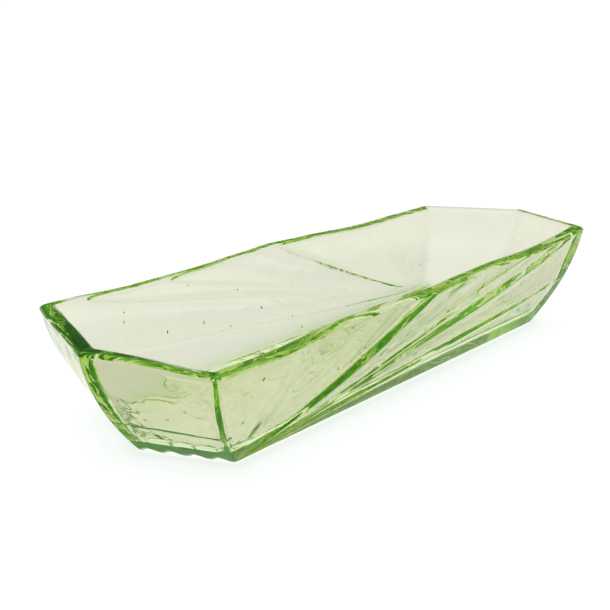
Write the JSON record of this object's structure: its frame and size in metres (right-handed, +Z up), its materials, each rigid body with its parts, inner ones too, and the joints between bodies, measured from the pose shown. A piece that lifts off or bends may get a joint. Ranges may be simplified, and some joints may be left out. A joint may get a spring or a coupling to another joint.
{
  "type": "pressed glass dish",
  "caption": "Long six-sided pressed glass dish with flaring walls, pointed ends, a fan of rays on each long side and short flutes under both ends of its foot.",
  "frame": {"origin": "bottom centre of the dish, on the surface it stands on, under the middle of its length and width", "axes": "+X along the length towards one pointed end, +Y across the width, +Z up out of the bowl"},
  "size_m": [0.253, 0.0888, 0.0421],
  "materials": {
    "green_glass": "clear pale yellow-green pressed glass, fire-polished, with fine scratches and a few seeds"
  },
  "bodies": {
    "root": {"dish": "green_glass"}
  },
  "joints": []
}
